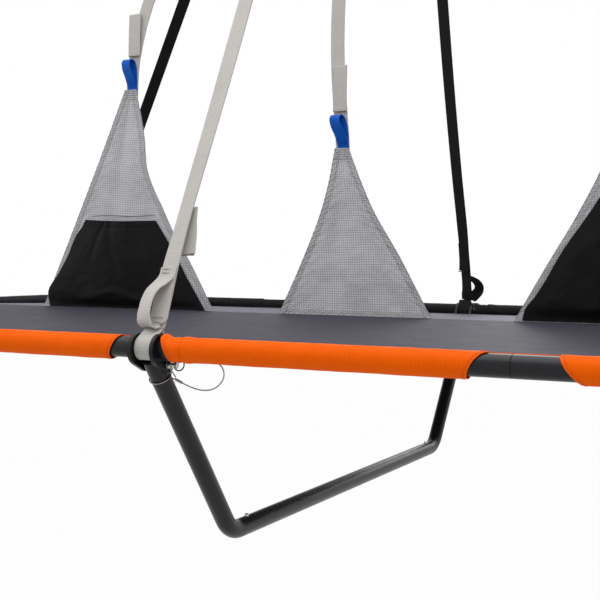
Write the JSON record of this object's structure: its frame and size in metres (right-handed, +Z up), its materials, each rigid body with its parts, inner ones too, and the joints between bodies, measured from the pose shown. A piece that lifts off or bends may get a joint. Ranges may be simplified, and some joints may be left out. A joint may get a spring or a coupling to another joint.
{
  "type": "portaledge",
  "caption": "Two-person hanging ledge: tube frame in fabric sleeves, taut bed with a divider, webbing straps to a master ring and a drop spreader pinned under the rails",
  "frame": {"origin": "centre of the master ring from which the ledge hangs", "axes": "+X along the rails, +Y towards the wall, +Z up"},
  "size_m": [2.107, 1.2376, 1.8925],
  "materials": {
    "ring_steel": "satin bar",
    "frame_tube": "charcoal satin coat",
    "spigot_alloy": "mill",
    "bed_fabric": "coated cloth",
    "orange_fabric": "coated nylon",
    "black_fabric": "coated nylon",
    "ripstop": "fine grid cloth",
    "grey_webbing": "flat webbing",
    "black_webbing": "flat webbing",
    "blue_webbing": "flat webbing",
    "bracket_plastic": "moulded",
    "pin_steel": "ground",
    "ring_wire": "dark spring wire",
    "lanyard_wire": "stranded wire"
  },
  "bodies": {
    "ledge": {"bed": "bed_fabric", "centre_divider_strap": "grey_webbing", "centre_loop_tab": "blue_webbing", "centre_panel": "ripstop", "end_spigots": "spigot_alloy", "front_left_corner_tube": "frame_tube", "front_left_strap": "grey_webbing", "front_mid_strap": "grey_webbing", "front_mid_tube": "frame_tube", "front_pull_loop": "grey_webbing", "front_right_corner_tube": "frame_tube", "front_right_strap": "grey_webbing", "front_sleeve_inner_left": "orange_fabric", "front_sleeve_inner_right": "orange_fabric", "front_sleeve_outer_left": "orange_fabric", "front_sleeve_outer_right": "orange_fabric", "left_divider_strap": "grey_webbing", "left_end_sleeve": "black_fabric", "left_loop_tab": "blue_webbing", "left_panel": "ripstop", "left_pocket": "black_fabric", "master_ring": "ring_steel", "rail_spigots": "spigot_alloy", "rear_left_corner_tube": "frame_tube", "rear_left_strap": "black_webbing", "rear_mid_strap": "black_webbing", "rear_mid_tube": "frame_tube", "rear_pull_loop": "black_webbing", "rear_right_corner_tube": "frame_tube", "rear_right_strap": "black_webbing", "rear_sleeve_inner_left": "black_fabric", "rear_sleeve_inner_right": "black_fabric", "rear_sleeve_outer_left": "black_fabric", "rear_sleeve_outer_right": "black_fabric", "right_divider_strap": "grey_webbing", "right_end_sleeve": "black_fabric", "right_loop_tab": "blue_webbing", "right_panel": "ripstop", "right_pocket": "black_fabric"},
    "front_bracket": {"front_bracket_plate_left": "bracket_plastic", "front_bracket_plate_right": "bracket_plastic"},
    "spreader": {"rear_bracket_plate_left": "bracket_plastic", "rear_bracket_plate_right": "bracket_plastic", "front_leg": "frame_tube", "rear_leg": "frame_tube", "cross_tube": "frame_tube", "front_leg_spigot": "spigot_alloy", "rear_leg_spigot": "spigot_alloy", "front_lanyard_noose": "lanyard_wire"},
    "front_pin": {"front_pin": "pin_steel", "front_lanyard": "lanyard_wire", "front_lanyard_eye": "lanyard_wire", "front_lanyard_strand": "lanyard_wire"},
    "rear_pin": {"rear_pin": "pin_steel"},
    "front_pull_ring": {"front_pull_ring": "ring_wire"},
    "rear_pull_ring": {"rear_pull_ring": "ring_wire"},
    "front_button": {"front_snap_button": "pin_steel"},
    "rear_button": {"rear_snap_button": "pin_steel"}
  },
  "joints": [
    {"name": "spreader_swing", "type": "hinge", "parent": "ledge", "child": "spreader", "pos_m": [0, 0.4423, -1.56], "axis": [1, 0, 0], "range_deg": [0, 80]},
    {"name": "front_bracket_swivel", "type": "hinge", "parent": "ledge", "child": "front_bracket", "pos_m": [0, -0.7523, -1.56], "axis": [1, 0, 0], "range_deg": [-36, 0]},
    {"name": "front_pin_slide", "type": "slide", "parent": "spreader", "child": "front_pin", "axis": [1, 0, 0], "range_m": [0, 0.05]},
    {"name": "rear_pin_slide", "type": "slide", "parent": "spreader", "child": "rear_pin", "axis": [1, 0, 0], "range_m": [0, 0.05]},
    {"name": "front_pull_ring_swing", "type": "hinge", "parent": "front_pin", "child": "front_pull_ring", "pos_m": [0.0275, -0.7413, -1.5805], "axis": [0, 0, 1], "range_deg": [-10, 30]},
    {"name": "rear_pull_ring_swing", "type": "hinge", "parent": "rear_pin", "child": "rear_pull_ring", "pos_m": [0.0275, 0.4313, -1.5805], "axis": [0, 0, -1], "range_deg": [-10, 30]},
    {"name": "front_button_press", "type": "slide", "parent": "spreader", "child": "front_button", "axis": [0, 0, -1], "range_m": [0, 0.004], "stiffness_N_per_m": 600, "springref_m": -0.001},
    {"name": "rear_button_press", "type": "slide", "parent": "spreader", "child": "rear_button", "axis": [0, 0, -1], "range_m": [0, 0.004], "stiffness_N_per_m": 600, "springref_m": -0.001}
  ],
  "couplings": [
    {"joint": "front_bracket_swivel", "follows": "spreader_swing", "ratio": -0.45}
  ]
}
